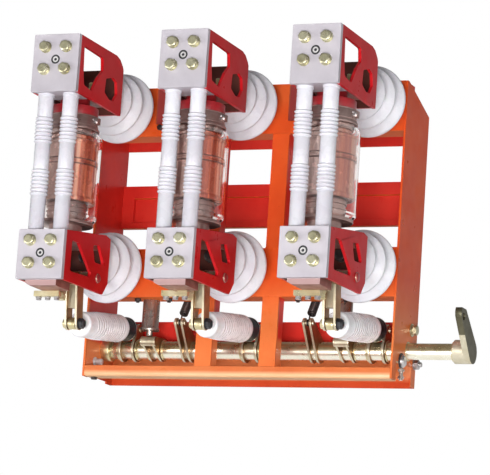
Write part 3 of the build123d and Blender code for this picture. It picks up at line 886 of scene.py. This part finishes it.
def stay_rod_profile():
    """A stay rod with two zones of round ribs and a collar at its top."""
    r, bottom, top = ROD_RADIUS, LOWER_PLATE[1], UPPER_PLATE[0]
    pitch, ribs = 6.9, 7
    rib = ((-0.8, 0), (1.0, 1.0), (2.2, 2.6), (2.2, 4.0), (1.0, 5.4), (-0.8, 6.2))
    profile = [(0, bottom), (r, bottom)]
    for low in (279.0, 375.0):
        profile.append((r, low - 2))
        for i in range(ribs):
            profile += [(r + grow, low + i * pitch + rise) for grow, rise in rib]
        profile.append((r, low + ribs * pitch + 1))
    return [*profile, (r, top - 4.4), (r + 1.2, top - 4.0), (r + 1.2, top), (0, top)]


def draw_stay_rods(bm):
    """The two stay rods of each pole."""
    for x in POLES.values():
        for side in SIDES:
            lathe(bm, place(x + side * ROD_OFFSET, ROD_Y, 0), stay_rod_profile())


def draw_glass(bm):
    """The glass envelopes, open at both ends."""
    r, wall, mouth = GLASS_RADIUS, GLASS_WALL, GLASS_MOUTH
    bottom, top = GLASS_BOTTOM, GLASS_TOP
    outer = [(mouth, bottom), (r, bottom + 3), (r, top - 12), (mouth, top)]
    bore = r - wall
    inner = [(mouth - wall, top), (bore, top - 13), (bore, bottom + 5), (mouth - wall, bottom)]
    profile = [*rounded(outer, 14.0, 8), *rounded(inner, 12.0, 8)]
    for x in POLES.values():
        lathe(bm, place(x, INTERRUPTER_Y, 0), profile, 96, closed=True)


def draw_shields(bm):
    """The metal shields seen through the glass, each with a double bead half way."""
    body = GLASS_RADIUS - GLASS_WALL - 3.6
    rim = body + 1.8
    bead = GLASS_RADIUS - GLASS_WALL - 1.2
    profile = [
        (0, 281),
        (34, 281),
        (body - 1, 278),
        (rim, 279),
        (rim, 284),
        (body, 288),
        (body, BEAD - 7.5),
        (body + 1, BEAD - 5.5),
        (bead, BEAD - 4.5),
        (bead, BEAD - 1.5),
        (body + 1, BEAD),
        (bead, BEAD + 1.5),
        (bead, BEAD + 4.5),
        (body, BEAD + 6.5),
        (body, 384),
        (rim, 386),
        (rim, 390),
        (40, 395),
        (39, 402),
        (0, 402),
    ]
    for x in POLES.values():
        lathe(bm, place(x, INTERRUPTER_Y, 0), rounded(profile, 1.6, 3), 96)


def draw_shield_ends(bm):
    """The seal in the glass's upper mouth, and the lower neck, its flange and rings."""
    mouth = GLASS_MOUTH - GLASS_WALL - 0.6
    step, cover = mouth - 1.5, GLASS_TOP - 0.3
    top = [(0, 402.3), (mouth, 402.3), (mouth, 403.5), (step, 405), (step, cover), (0, cover)]
    seat = LOWER_PLATE[1]
    low = [(0, seat), (30, seat), (30, 237)]
    low += [(49, 238), (50, 239), (50, 243), (49, 244), (36, 244.4)]
    for base in (258.0, 268.0):
        low += [(35, base), (37.5, base + 1), (37.5, base + 4), (35, base + 5)]
    low += [(35, 276.5), (38, 277.5), (0, 277.7)]
    for x in POLES.values():
        for profile in (top, low):
            lathe(bm, place(x, INTERRUPTER_Y, 0), profile, 72)


for level_name, height in (("upper", UPPER_INSULATOR), ("lower", LOWER_INSULATOR)):
    piece(
        f"cast_insulators_{level_name}",
        "frame",
        "white_epoxy",
        WHITE,
        draw_insulators,
        height,
        stands_for=[f"{level_name}_insulators"],
        angle=60,
    )
for name, slot_name, material, draw, node, angle in (
    ("ribbed_stay_rods", "white_epoxy", STAY_WHITE, draw_stay_rods, "stay_rods", 60),
    ("glass_tubes", "clear_glass", GLASS, draw_glass, "glass_envelopes", 60),
    ("beaded_shields", "copper_shield", SHIELD, draw_shields, "arc_shields", 50),
):
    piece(name, "frame", slot_name, material, draw, stands_for=[node], angle=angle)
piece("shield_ends", "frame", "copper_shield", CLAMP, draw_shield_ends, angle=40)


# Terminal fasteners

BOLT_OFFSET = 20.45
UPPER_ROWS = (547.2, 506.2)
LOWER_ROWS = (193.7, 152.7)
SCREW_HEIGHTS = (524.5, 171.0)


def draw_plate_bolts(bm, rows):
    """The four bolts of each terminal plate of one level, each head at its own turn."""
    for p, x in enumerate(POLES.values()):
        for r, z in enumerate(rows):
            for side in SIDES:
                turn = 0.4 + p * 0.7 + r * 0.45 + side * 0.3
                spot = place(x + side * BOLT_OFFSET, PLATE_FRONT, z, "-Y")
                bolt(bm, spot, size=11.0, washer=21.5, turn=turn)


def centre_spots():
    """The places of the recessed centre screws."""
    return [place(x, PLATE_FRONT, z, "-Y") for x in POLES.values() for z in SCREW_HEIGHTS]


def draw_screw_rims(bm):
    """The dark rims of the recessed centre screws, and a black hexagon in each socket as
    painted shade.
    """
    rim = [(5.4, -0.5), (8.5, -0.5), (8.5, 0.35), (7.8, 0.6), (6.2, 0.6), (5.4, 0.2)]
    for spot in centre_spots():
        lathe(bm, spot, rim, 40, closed=True)
        # A black hexagon fills the socket as painted shade
        hexagon(bm, spot, 5.0, -0.4, 0.3, turn=0.4)


def draw_centre_screws(bm):
    """The recessed socket screw in the middle of each terminal plate."""
    ring = [(2.9, -0.5), (2.9, 0.5), (3.2, 0.7), (4.9, 0.7), (5.4, 0.3), (5.4, -0.5)]
    for spot in centre_spots():
        lathe(bm, spot, ring, 30, closed=True)


piece("upper_plate_bolts", "frame", "yellow_zinc", OLIVE, draw_plate_bolts, UPPER_ROWS)
piece("lower_plate_bolts", "frame", "yellow_zinc", OLIVE, draw_plate_bolts, LOWER_ROWS)
piece("screw_rims", "frame", "black_plastic", BLACK, draw_screw_rims)
piece("centre_screws", "frame", "grey_metal", PIN_STEEL, draw_centre_screws)


# Pull rods, with fine ribs along the white body and a bright rim on the cap

ROD_LENGTH = hypot(CRANK_PIN[0] - BELL_PIN[0], CRANK_PIN[1] - BELL_PIN[1])
ROD_BODY = (26.0, ROD_LENGTH - 69.0)
CAP_END = ROD_LENGTH - 31.0


def rod_place(x):
    """A matrix whose Z runs from the bell crank's pin to the crank pin."""
    return along((x, *BELL_PIN), (x, *CRANK_PIN))[0]


def draw_rod_body(bm, x):
    """The white body: a smooth front collar, then fine shallow ribs."""
    start, end = ROD_BODY
    full, neck, groove, pitch = 26.0, 24.2, 1.5, 9.0
    front = rounded([(0, start), (23.6, start), (23.6, start + 30)], 6.0, 6)
    profile = [*front, (neck, start + 31)]
    first = start + 32
    count = int((end - 16 - first) / pitch)
    for i in range(count):
        base = first + i * pitch
        r = neck + 1.8 * min(1.0, i / (count * 0.3))
        after = base + pitch
        profile += [(r - groove, base), (r, base + 0.8)]
        profile += [(r, after - 2.2), (r - groove, after - 1.4)]
    back = [(full, first + count * pitch), (full, end - 2), (22.0, end), (0, end)]
    lathe(bm, rod_place(x), [*profile, *rounded(back, 7.0, 6)], 72)


def draw_rod_rim(bm, x):
    """The bright clamp rim round the rear edge of the black cap."""
    low = CAP_END - 3.2
    rim = [(20.5, low), (22.3, low), (22.9, low + 1), (22.9, low + 2.6), (20.5, low + 3.0)]
    lathe(bm, rod_place(x), rim, 64, closed=True)


for side, x in POLES.items():
    rod = f"pull_rod_{side}"
    piece(
        f"ribbed_rod_{side}",
        rod,
        "white_epoxy",
        ROD_WHITE,
        draw_rod_body,
        x,
        stands_for=[rod],
        angle=50,
    )
    piece(f"rod_rim_{side}", rod, "grey_metal", STEEL, draw_rod_rim, x)


# Small fasteners on the poles


def draw_plate_nuts(bm):
    """Nuts on the thread ends behind the terminal plates."""
    for x in POLES.values():
        for z in (*UPPER_ROWS, *LOWER_ROWS):
            for side in SIDES:
                spot = place(x + side * BOLT_OFFSET, PLATE_BACK, z, "+Y")
                nut(bm, spot, size=12.0, washer=23.0, turn=0.3 * side, end=5.0)


def draw_shelf_studs(bm):
    """Two studs with nuts that stand on the upper shelf beside each interrupter."""
    for x in POLES.values():
        for side in SIDES:
            spot = place(x + side * 30.0, INTERRUPTER_Y, SHELF_TOP)
            nut(bm, spot, size=9.0, washer=15.0, turn=0.2, end=12.0)


def draw_insulator_bolts(bm):
    """The bolts that hold each insulator, in its bracket and in its rail."""
    for x in POLES.values():
        for z in (UPPER_INSULATOR, LOWER_INSULATOR):
            in_bracket = place(x, INSULATOR_FRONT - 6, z, "-Y")
            bolt(bm, in_bracket, size=12.0, washer=24.0, turn=0.4)
            in_rail = place(x, FRAME_FRONT + SHEET, z, "+Y")
            bolt(bm, in_rail, size=16.0, washer=34.0, turn=0.9)


def draw_guide_bolts(bm):
    """Three small bolts under each guide bar."""
    for x in POLES.values():
        for shift in (-30.0, -12.0, 6.0):
            spot = place(x + shift, PLATE_BACK + 58, BLOCK_BOTTOM - GUIDE_THICKNESS, "-Z")
            bolt(bm, spot, size=6.0, washer=11.0, turn=0.5, spring=False)


def draw_lug_screws(bm):
    """The clamp screw through the lug of each cap ring, with its socket."""
    head = [(4.6, 1.2), (4.6, 5.4), (4.0, 6.0), (2.4, 6.0), (2.4, 3.4), (0, 3.4)]
    for x in POLES.values():
        spot = place(x + GLASS_MOUTH + 0.5, INTERRUPTER_Y - 6, GLASS_TOP + 18, "-Y")
        disc(bm, spot, 5.4, 0, 1.2, edge=0.3)
        lathe(bm, spot, head, 28)


def draw_cap_seams(bm):
    """Thin beads at the joints of each cap ring and boss."""
    seams = (
        (BOSS_BOTTOM, GLASS_MOUTH),
        (GLASS_TOP + 4.5, GLASS_MOUTH + 1.0),
        (GLASS_TOP + 9.0, GLASS_MOUTH),
    )
    for x in POLES.values():
        for z, r in seams:
            low, high = r - 1, r + 0.5
            bead = [(low, -0.9), (high, -0.7), (r + 0.9, 0), (high, 0.7), (low, 0.9)]
            lathe(bm, place(x, INTERRUPTER_Y, z), bead, 72, closed=True)


piece("plate_nuts", "frame", "yellow_zinc", ZINC, draw_plate_nuts)
piece("shelf_studs", "frame", "yellow_zinc", ZINC, draw_shelf_studs)
piece("insulator_bolts", "frame", "dark_steel", DARK, draw_insulator_bolts)
piece("guide_bar_bolts", "frame", "dark_steel", STEEL, draw_guide_bolts)
piece("lug_screws", "frame", "dark_steel", STEEL, draw_lug_screws)
piece("cap_seams", "frame", "grey_metal", CLAMP, draw_cap_seams)


# Fasteners on the bell cranks, stems and rods


def draw_pivot_heads(bm, x):
    """A domed head and a ring on each end of a bell crank's pivot."""
    dome = rounded([(8.0, -1.5), (8.0, 0.4), (6.4, 1.4), (3.0, 2.0), (0, 2.2)], 1.5, 3)
    for side in (1, -1):
        axis = outward(side)
        lathe(bm, place(x + side * (PLATE_HALF + 3), *BELL_PIVOT, axis), dome, 36)
        disc(bm, place(x + side * PLATE_HALF, *BELL_PIVOT, axis), 9.5, 0.35, 1.4, hole=7.0)


def draw_pin_nut(bm, x):
    """The black locking nut on the pin that carries the rod's eye."""
    spot = place(x + BELL_HALF, *BELL_PIN, "+X")
    disc(bm, spot, 10.5, 0, 1.4)
    hexagon(bm, spot, 17.0, 1.4, 8.0, chamfer_low=True, turn=0.35)
    lathe(bm, spot, [(7.4, 8.0), (7.2, 9.6), (5.2, 10.4), (5.0, 8.6), (0, 8.6)], 32)


def draw_pin_head(bm, x):
    """The round head at the other end of that pin."""
    spot = place(x - BELL_HALF, *BELL_PIN, "-X")
    lathe(bm, spot, [(8.6, 0), (9.0, 0.6), (9.0, 4.0), (8.2, 5.2), (0, 5.6)], 36)


def draw_stem_nuts(bm, x):
    """Two hexagon nuts locked on the stem's lower end."""
    lower = (STEM_BOTTOM + 0.6, STEM_BOTTOM + 10.2, 0.3)
    upper = (STEM_BOTTOM + 11.0, STEM_NUT_TOP - 0.6, 0.75)
    for low, high, turn in (lower, upper):
        hexagon(bm, place(x, INTERRUPTER_Y, 0), 18.6, low, high, chamfer_low=True, turn=turn)


for side, x in POLES.items():
    crank = f"bell_crank_{side}"
    piece(f"pivot_heads_{side}", crank, "red_paint", BOSS_RED, draw_pivot_heads, x)
    piece(f"pin_nut_{side}", crank, "black_plastic", BLACK, draw_pin_nut, x)
    piece(f"pin_head_{side}", crank, "yellow_zinc", ZINC, draw_pin_head, x)
    piece(f"stem_nuts_{side}", f"stem_{side}", "yellow_zinc", ZINC, draw_stem_nuts, x)


# Fasteners on the shaft and the frame

RIGHT_FACE = HALF_WIDTH
LEFT_INNER_FACE = -HALF_WIDTH + SHEET
STOP_SCREW = (RIGHT_FACE, -82, 38)
LOWER_RAIL_BOTTOM = 149
LOWER_RAIL_BOLTS = (-146, -210, 112, 205, -60, 64)
UPPER_RAIL_BOLTS = (-183, 183)


def draw_shaft_ring(bm, x, side, wider, thickness):
    """A retaining ring on the shaft, from X outward on one side."""
    spot = place(x, SHAFT_Y, SHAFT_HEIGHT, outward(side))
    hole = SHAFT_RADIUS + 0.05
    disc(bm, spot, SHAFT_RADIUS + wider, 0, thickness, hole=hole, edge=0.5)


def draw_shaft_rings(bm):
    """The rings beside the phase cranks and the buffer levers."""
    for x in POLES.values():
        for side in SIDES:
            draw_shaft_ring(bm, x + side * CRANK_HALF, side, 3.2, 3.0)
    for lever in SIDES:
        for side in SIDES:
            draw_shaft_ring(bm, lever * BUFFER_X + side * BUFFER_HALF, side, 2.6, 2.4)


def draw_shaft_end_ring(bm):
    """The retaining ring on the frame's side of the end lever's boss."""
    spot = place(SHAFT_END, SHAFT_Y, SHAFT_HEIGHT, "-X")
    disc(bm, spot, 19.0, 21.2, 24.4, hole=15.2, edge=0.5)


def draw_panel_bolts(bm):
    """One bolt on the outer face of the right panel and one inside the left panel."""
    bolt(bm, place(RIGHT_FACE, -34, 103, "+X"), size=11.0, washer=24.0, turn=0.2)
    bolt(bm, place(LEFT_INNER_FACE, -26, 105, "+X"), size=10.0, washer=20.0, turn=0.6)


def draw_stop_screw(bm):
    """The round-headed stop screw low on the panel beside the lever, and a nut."""
    head = [(12.0, 1.0), (11.6, 5.0), (8.6, 8.4), (4.0, 9.6), (0, 9.8)]
    lathe(bm, place(*STOP_SCREW, "+X"), head, 40)
    nut(bm, place(RIGHT_FACE, -10, 43, "+X"), size=10.0, washer=20.0, turn=0.3, end=5.0)


def draw_stop_ring(bm):
    """The black ring round the stop screw's foot."""
    ring = [(11.6, 0.05), (14.6, 0.05), (14.6, 2.2), (13.6, 3.0), (11.6, 3.0)]
    lathe(bm, place(*STOP_SCREW, "+X"), ring, 40, closed=True)


def draw_corner_screw(bm):
    """The upright adjusting screw beside the right foot of the frame."""
    spot = place(RIGHT_FACE + 6.5, -96, 0)
    thread(bm, spot, 4.0, 1.0, 24.0, 2.6)
    hexagon(bm, spot, 11.0, 4.0, 8.5, chamfer_low=True, turn=0.2)
    hexagon(bm, spot, 11.0, 17.0, 21.5, chamfer_low=True, turn=0.7)


def draw_left_pin(bm):
    """The bright pin that stands inward from the left panel near its foot."""
    spot = place(LEFT_INNER_FACE, -84, 33, "+X")
    disc(bm, spot, 9.0, 0.1, 2.0)
    lathe(bm, spot, [(5.8, 2.0), (5.8, 14.5), (4.6, 16.0), (0, 16.2)], 30)


def draw_left_foot(bm):
    """A plate that closes the notch at the foot of the left panel."""
    inset = 0.15
    front, rear, low, high = -107 + inset, -24 - inset, 4.2, 36 - inset
    outline = [(front, low), (rear, low), (rear, high), (front, high)]
    half = SHEET / 2
    prism(bm, place(-HALF_WIDTH + half, 0, 0, "+X"), outline, -half + inset, half - inset)


def draw_rail_bolts(bm):
    """Bolt ends below the lower rail, two bolts on the upper one, one under the beam."""
    for x in LOWER_RAIL_BOLTS:
        spot = place(x, -112, LOWER_RAIL_BOTTOM, "-Z")
        disc(bm, spot, 6.0, 0, 1.2)
        thread(bm, spot, 3.6, 1.0, 8.0, 1.25)
        hexagon(bm, spot, 10.0, 1.2, 5.6, chamfer_low=True)
    for x in UPPER_RAIL_BOLTS:
        hexagon(bm, place(x, FRAME_FRONT, 473, "-Y"), 10.0, 0, 4.4, turn=0.3)
    spot = place(-290, -109, 0, "-Z")
    disc(bm, spot, 6.6, 0, 1.0)
    hexagon(bm, spot, 10.5, 1.0, 4.6, turn=0.4)


def draw_welds(bm):
    """Weld beads where rails and panels meet, and at the stiles' edges."""
    runs = []
    for side in SIDES:
        x, y = side * (HALF_WIDTH - SHEET - 1.0), FRAME_FRONT + 0.6
        runs += [((x, y, low), (x, y, high)) for low, high in ((152, 237), (459, 546))]
        for edge in (47.5, 80.0):
            x = side * edge
            runs += [((x, FRAME_FRONT + 1, z), (x, FRAME_FRONT + 9, z)) for z in (241, 455)]
    for start, end in runs:
        a, b = Vector(start), Vector(end)
        count = max(4, int((b - a).length / 1.6))
        sweep(bm, [at(*(a.lerp(b, i / count))) for i in range(count + 1)], 1.3, 8)


piece("shaft_rings", "shaft", "yellow_zinc", ZINC, draw_shaft_rings)
piece("shaft_end_ring", "shaft", "yellow_zinc", ZINC, draw_shaft_end_ring)
piece("panel_bolts", "frame", "yellow_zinc", OLIVE, draw_panel_bolts)
piece("stop_screw", "frame", "grey_metal", STEEL, draw_stop_screw)
piece("stop_screw_ring", "frame", "black_plastic", BLACK, draw_stop_ring)
piece("corner_screw", "frame", "dark_steel", BROWN, draw_corner_screw)
piece("left_pin", "frame", "grey_metal", PIN_STEEL, draw_left_pin)
piece("left_foot_plate", "frame", "orange_paint", ORANGE, draw_left_foot)
piece("rail_bolts", "frame", "dark_steel", DARK, draw_rail_bolts)
piece("weld_beads", "frame", "orange_paint", ORANGE, draw_welds)


# Opening springs

WIRE_RADIUS = 1.4


def coil_points(start, end, radius, turns):
    """Points of a hooked tension spring between two pins, in metres."""
    base, length = along(start, end)
    hook, eye, points_per_turn = 22.0, 5.5, 16

    def hook_points(height, first):
        """The bent wire round one pin, from an angle on."""
        angles = [first + i / 8 * pi * 1.2 for i in range(9)]
        return [base @ Vector((0, eye * cos(t), height + eye * sin(t))) for t in angles]

    coil = []
    count = turns * points_per_turn
    for i in range(count + 1):
        t = i / count
        grow = min(1.0, t * turns * 2, (1 - t) * turns * 2)
        r = radius * (0.35 + 0.65 * grow)
        angle = 2 * pi * turns * t
        height = hook + (length - hook - hook) * t
        coil.append(base @ Vector((r * cos(angle), r * sin(angle), height)))
    return [*hook_points(0, -pi * 0.7), *coil, *hook_points(length, pi * 0.5)]


def draw_springs(bm):
    """The two opening springs, hooked to the frame and to their levers."""
    for side in SIDES:
        x = side * SPRING_X
        radius = SPRING_RADIUS - WIRE_RADIUS
        points = coil_points((x, *SPRING_TIP), (x, *SPRING_ANCHOR), radius, 17)
        sweep(bm, points, WIRE_RADIUS, 10)


def spring_point(share):
    """A point on the springs' axis, from the frame's pin to the lever's."""
    return at(0, *Vector(SPRING_ANCHOR).lerp(Vector(SPRING_TIP), share))


# The springs' two bodies and two places on their axis, handed to piece() as their body
STRETCH = ("frame", "shaft", spring_point(0.35), spring_point(0.95))
piece(
    "coil_springs",
    STRETCH,
    "dark_steel",
    DARK,
    draw_springs,
    stands_for=["opening_springs"],
    angle=60,
)


# Stage, lights and camera, in metres

LIGHT_TARGET = Vector((0, -0.3, 0.2))
# Name, place, width and height, power
LIGHTS = (
    ("key", (1.4, -4.7, -1.3), (2.2, 1.2), 205.0),
    ("left_fill", (-2.8, -3.4, -0.5), (1.8, 1.2), 40.0),
    ("side_fill", (3.4, -2.6, -0.6), (1.6, 1.2), 12.0),
)
FLOOR_HEIGHT = -1.75
FLOOR_HALF = 6.0
WORLD_STRENGTH = 0.5
CAMERA_PLACE = Vector((2.0555, -5.0015, -0.7927))
CAMERA_FORWARD = Vector((-0.38114, 0.90599, 0.18417))
CAMERA_UP = Vector((0.00971, -0.19528, 0.98070))
CAMERA_LENS = 214.1


def pale_world(strength):
    """White for the eye and through glass, and elsewhere a fill that dims overhead.

    Reflections in metal see the fill at full strength.
    """
    world = bpy.data.worlds.new("studio")
    bpy.context.scene.world = world
    world.use_nodes = True
    world.node_tree.nodes.clear()
    n = Tree(world.node_tree)
    ray = n.add("ShaderNodeLightPath").outputs
    seen = n.calc(ray["Is Camera Ray"], ray["Is Transmission Ray"], "MAXIMUM")
    rise = n.split(n.add("ShaderNodeTexCoord").outputs["Generated"], "Z")
    dim = n.span(rise, 1.0, 0.25, -0.12, 0.35)
    fill = n.span(ray["Is Glossy Ray"], strength, 1.0, 0.0, 1.0)
    shown = n.calc(n.calc(dim, fill), seen, "MAXIMUM")
    background = n.add("ShaderNodeBackground", {"Strength": shown, "Color": (1.0, 1.0, 1.0)})
    n.add("ShaderNodeOutputWorld", {"Surface": background.outputs[0]})


def floor(height, half):
    """A pale floor below the breaker, whiter for the eye and pure white in metal."""
    bm = bmesh.new()
    corners = [(-half, -half), (half, -half), (half, half), (-half, half)]
    bm.faces.new([bm.verts.new((x, y, height)) for x, y in corners])
    mesh = bpy.data.meshes.new("floor")
    bm.to_mesh(mesh)
    bm.free()
    n = Nodes("pale_floor")
    colour = n.ramp(n.noise(2.0, 2.0), (0.3, (0.90, 0.90, 0.90)), (0.7, (0.94, 0.94, 0.94)))
    normal = n.bump(n.noise(60.0, 2.0), 0.02, 0.001)
    mesh.materials.append(n.finish(colour, n.drift(0.6, 0.7, 5.0, 3.0), normal))
    ray = n.add("ShaderNodeLightPath").outputs
    pale = n.calc(n.calc(ray["Is Camera Ray"], 0.6), ray["Is Glossy Ray"], "MAXIMUM")
    white = n.add("ShaderNodeEmission").outputs[0]
    both = n.add("ShaderNodeMixShader", {0: pale, 1: n.shader.outputs[0], 2: white})
    n.feed(n.tree.nodes["Material Output"], {"Surface": both.outputs[0]})
    obj = bpy.data.objects.new("floor", mesh)
    bpy.context.scene.collection.objects.link(obj)


def area_light(name, spot, size, power):
    """A soft rectangular lamp that looks at the breaker."""
    data = bpy.data.lights.new(name, "AREA")
    data.shape = "RECTANGLE"
    data.size, data.size_y = size
    data.energy = power
    lamp = bpy.data.objects.new(name, data)
    lamp.location = spot
    way = LIGHT_TARGET - Vector(spot)
    lamp.rotation_euler = way.to_track_quat("-Z", "Y").to_euler()
    bpy.context.scene.collection.objects.link(lamp)


def photo_camera():
    """The camera at the photograph's viewing angle, below the frame and looking up."""
    data = bpy.data.cameras.new("camera")
    data.sensor_width = 36.0
    data.lens = CAMERA_LENS
    data.clip_start, data.clip_end = 0.1, 60.0
    camera = bpy.data.objects.new("camera", data)
    back = -CAMERA_FORWARD.normalized()
    right = CAMERA_UP.cross(back).normalized()
    up = back.cross(right)
    turn = Matrix((right, up, back)).transposed().to_4x4()
    camera.matrix_world = Matrix.Translation(CAMERA_PLACE) @ turn
    bpy.context.scene.collection.objects.link(camera)
    bpy.context.scene.camera = camera


pale_world(WORLD_STRENGTH)
floor(FLOOR_HEIGHT, FLOOR_HALF)
for light in LIGHTS:
    area_light(*light)
photo_camera()
bpy.context.scene.view_settings.view_transform = "Standard"
